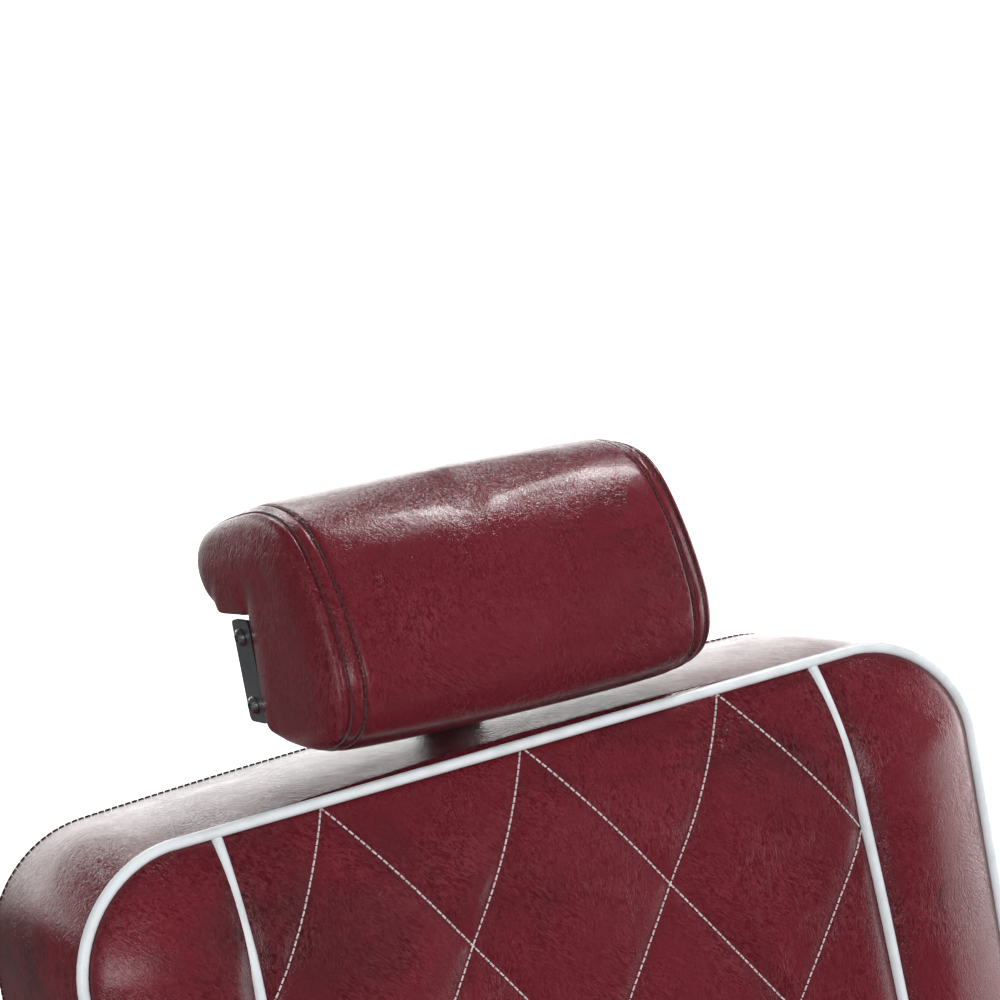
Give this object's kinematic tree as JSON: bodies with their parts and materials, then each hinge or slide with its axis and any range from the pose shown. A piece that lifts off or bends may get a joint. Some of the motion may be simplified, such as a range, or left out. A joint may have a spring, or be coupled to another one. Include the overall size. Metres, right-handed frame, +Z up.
{
  "type": "hydraulic barber chair",
  "caption": "Reclining barber chair on a round pump base: quilted back, padded seat and arms, sliding tilting headrest, leg rest linked to the back.",
  "frame": {"origin": "on the floor at the middle of the base, on the swivel axis", "axes": "+Z up; the sitter faces -Y; +X is the sitter's left"},
  "size_m": [0.757, 1.013, 1.2081],
  "materials": {
    "red_leather": "gloss",
    "chrome": "polished",
    "steel": "satin",
    "black_steel": "satin",
    "rubber": "matte",
    "black_plastic": "satin",
    "plywood": "matte",
    "aluminium": "satin"
  },
  "bodies": {
    "base": {"base_plate": "black_steel", "base_cover": "chrome", "base_ring": "rubber", "pump_body": "steel", "lower_shroud": "chrome", "gland_nut": "steel", "wiper_seal": "rubber"},
    "pedal": {"pedal_arm": "black_steel", "pedal_pad": "rubber"},
    "plunger": {"pump_plunger": "steel"},
    "column": {"ram": "chrome", "thrust_bearing": "steel", "spindle_nut": "steel"},
    "seat": {"swivel_hub": "steel", "upper_shroud": "chrome", "seat_mount_plate": "black_steel", "rail_left": "black_steel", "rail_right": "black_steel", "front_crossbar": "black_steel", "rear_crossbar": "black_steel", "seat_board": "plywood", "seat_cushion": "red_leather", "arm_frame_left": "chrome", "arm_frame_right": "chrome", "arm_pad_left": "red_leather", "arm_pad_right": "red_leather", "side_panel_left": "red_leather", "side_panel_right": "red_leather", "hinge_bracket_left": "black_steel", "hinge_bracket_right": "black_steel", "leg_bracket_left": "black_steel", "leg_bracket_right": "black_steel", "recline_cylinder": "black_steel"},
    "lever": {"release_lever": "chrome", "lever_knob": "black_plastic"},
    "rod": {"recline_rod": "chrome"},
    "back": {"hinge_shaft": "steel", "back_arm_left": "black_steel", "back_arm_right": "black_steel", "recline_crank": "steel", "back_board": "plywood", "back_cushion": "red_leather", "back_shell": "red_leather", "headrest_socket": "black_steel", "socket_escutcheon": "chrome"},
    "knob": {"headrest_knob": "black_plastic"},
    "post": {"headrest_post": "chrome"},
    "headrest": {"headrest_pivot_pin": "steel", "headrest_bracket": "steel", "headrest_pad": "red_leather", "bracket_screw_1": "steel", "bracket_screw_2": "steel", "bracket_screw_3": "steel", "bracket_screw_4": "steel"},
    "link": {"link_rod": "black_steel"},
    "legs": {"leg_arm_left": "chrome", "leg_arm_right": "chrome", "leg_tube": "chrome", "calf_pad": "red_leather"},
    "footplate": {"foot_plate": "aluminium"}
  },
  "joints": [
    {"name": "lift", "type": "slide", "parent": "base", "child": "column", "axis": [0, 0, 1], "range_m": [0, 0.16]},
    {"name": "swivel", "type": "hinge", "parent": "column", "child": "seat", "pos_m": [0, 0, 0.37], "axis": [0, 0, 1], "continuous": true},
    {"name": "pedal_press", "type": "hinge", "parent": "base", "child": "pedal", "pos_m": [0, 0.066, 0.092], "axis": [-1, 0, 0], "range_deg": [0, 12], "stiffness_Nm_per_rad": 10, "springref_deg": -17.19},
    {"name": "plunger_stroke", "type": "slide", "parent": "base", "child": "plunger", "axis": [0, 0, -1], "range_m": [0, 0.0075]},
    {"name": "recline", "type": "hinge", "parent": "seat", "child": "back", "pos_m": [0, 0.235, 0.45], "axis": [-1, 0, 0], "range_deg": [0, 50]},
    {"name": "recline_rod_slide", "type": "slide", "parent": "seat", "child": "rod", "axis": [0, -1, 0], "range_m": [0, 0.0509]},
    {"name": "link_swing", "type": "hinge", "parent": "back", "child": "link", "pos_m": [0, 0.26036, 0.39562], "axis": [1, 0, 0], "range_deg": [0, 50.1]},
    {"name": "leg_rest", "type": "hinge", "parent": "seat", "child": "legs", "pos_m": [0, -0.235, 0.4], "axis": [-1, 0, 0], "range_deg": [0, 50.1]},
    {"name": "foot_plate_fold", "type": "hinge", "parent": "legs", "child": "footplate", "pos_m": [0, -0.29841, 0.16335], "axis": [-1, 0, 0], "range_deg": [0, 40]},
    {"name": "release_lever_pull", "type": "hinge", "parent": "seat", "child": "lever", "pos_m": [0, 0.02, 0.398], "axis": [-1, 0, 0], "range_deg": [0, 18], "stiffness_Nm_per_rad": 2, "springref_deg": -17.19},
    {"name": "headrest_height", "type": "slide", "parent": "back", "child": "post", "axis": [0, 0.3665, 0.9304], "range_m": [0, 0.1]},
    {"name": "headrest_tilt", "type": "hinge", "parent": "post", "child": "headrest", "pos_m": [0, 0.51478, 1.09752], "axis": [-1, 0, 0], "range_deg": [-4, 25]},
    {"name": "headrest_knob_turn", "type": "hinge", "parent": "back", "child": "knob", "pos_m": [0, 0.50909, 0.94391], "axis": [0, 0.9304, -0.3665], "range_deg": [0, 360]}
  ],
  "couplings": [
    {"joint": "plunger_stroke", "follows": "pedal_press", "m_per_rad": 0.0339},
    {"joint": "recline_rod_slide", "follows": "recline", "m_per_rad": 0.058114},
    {"joint": "link_swing", "follows": "recline", "ratio": 1},
    {"joint": "leg_rest", "follows": "recline", "ratio": 1}
  ]
}
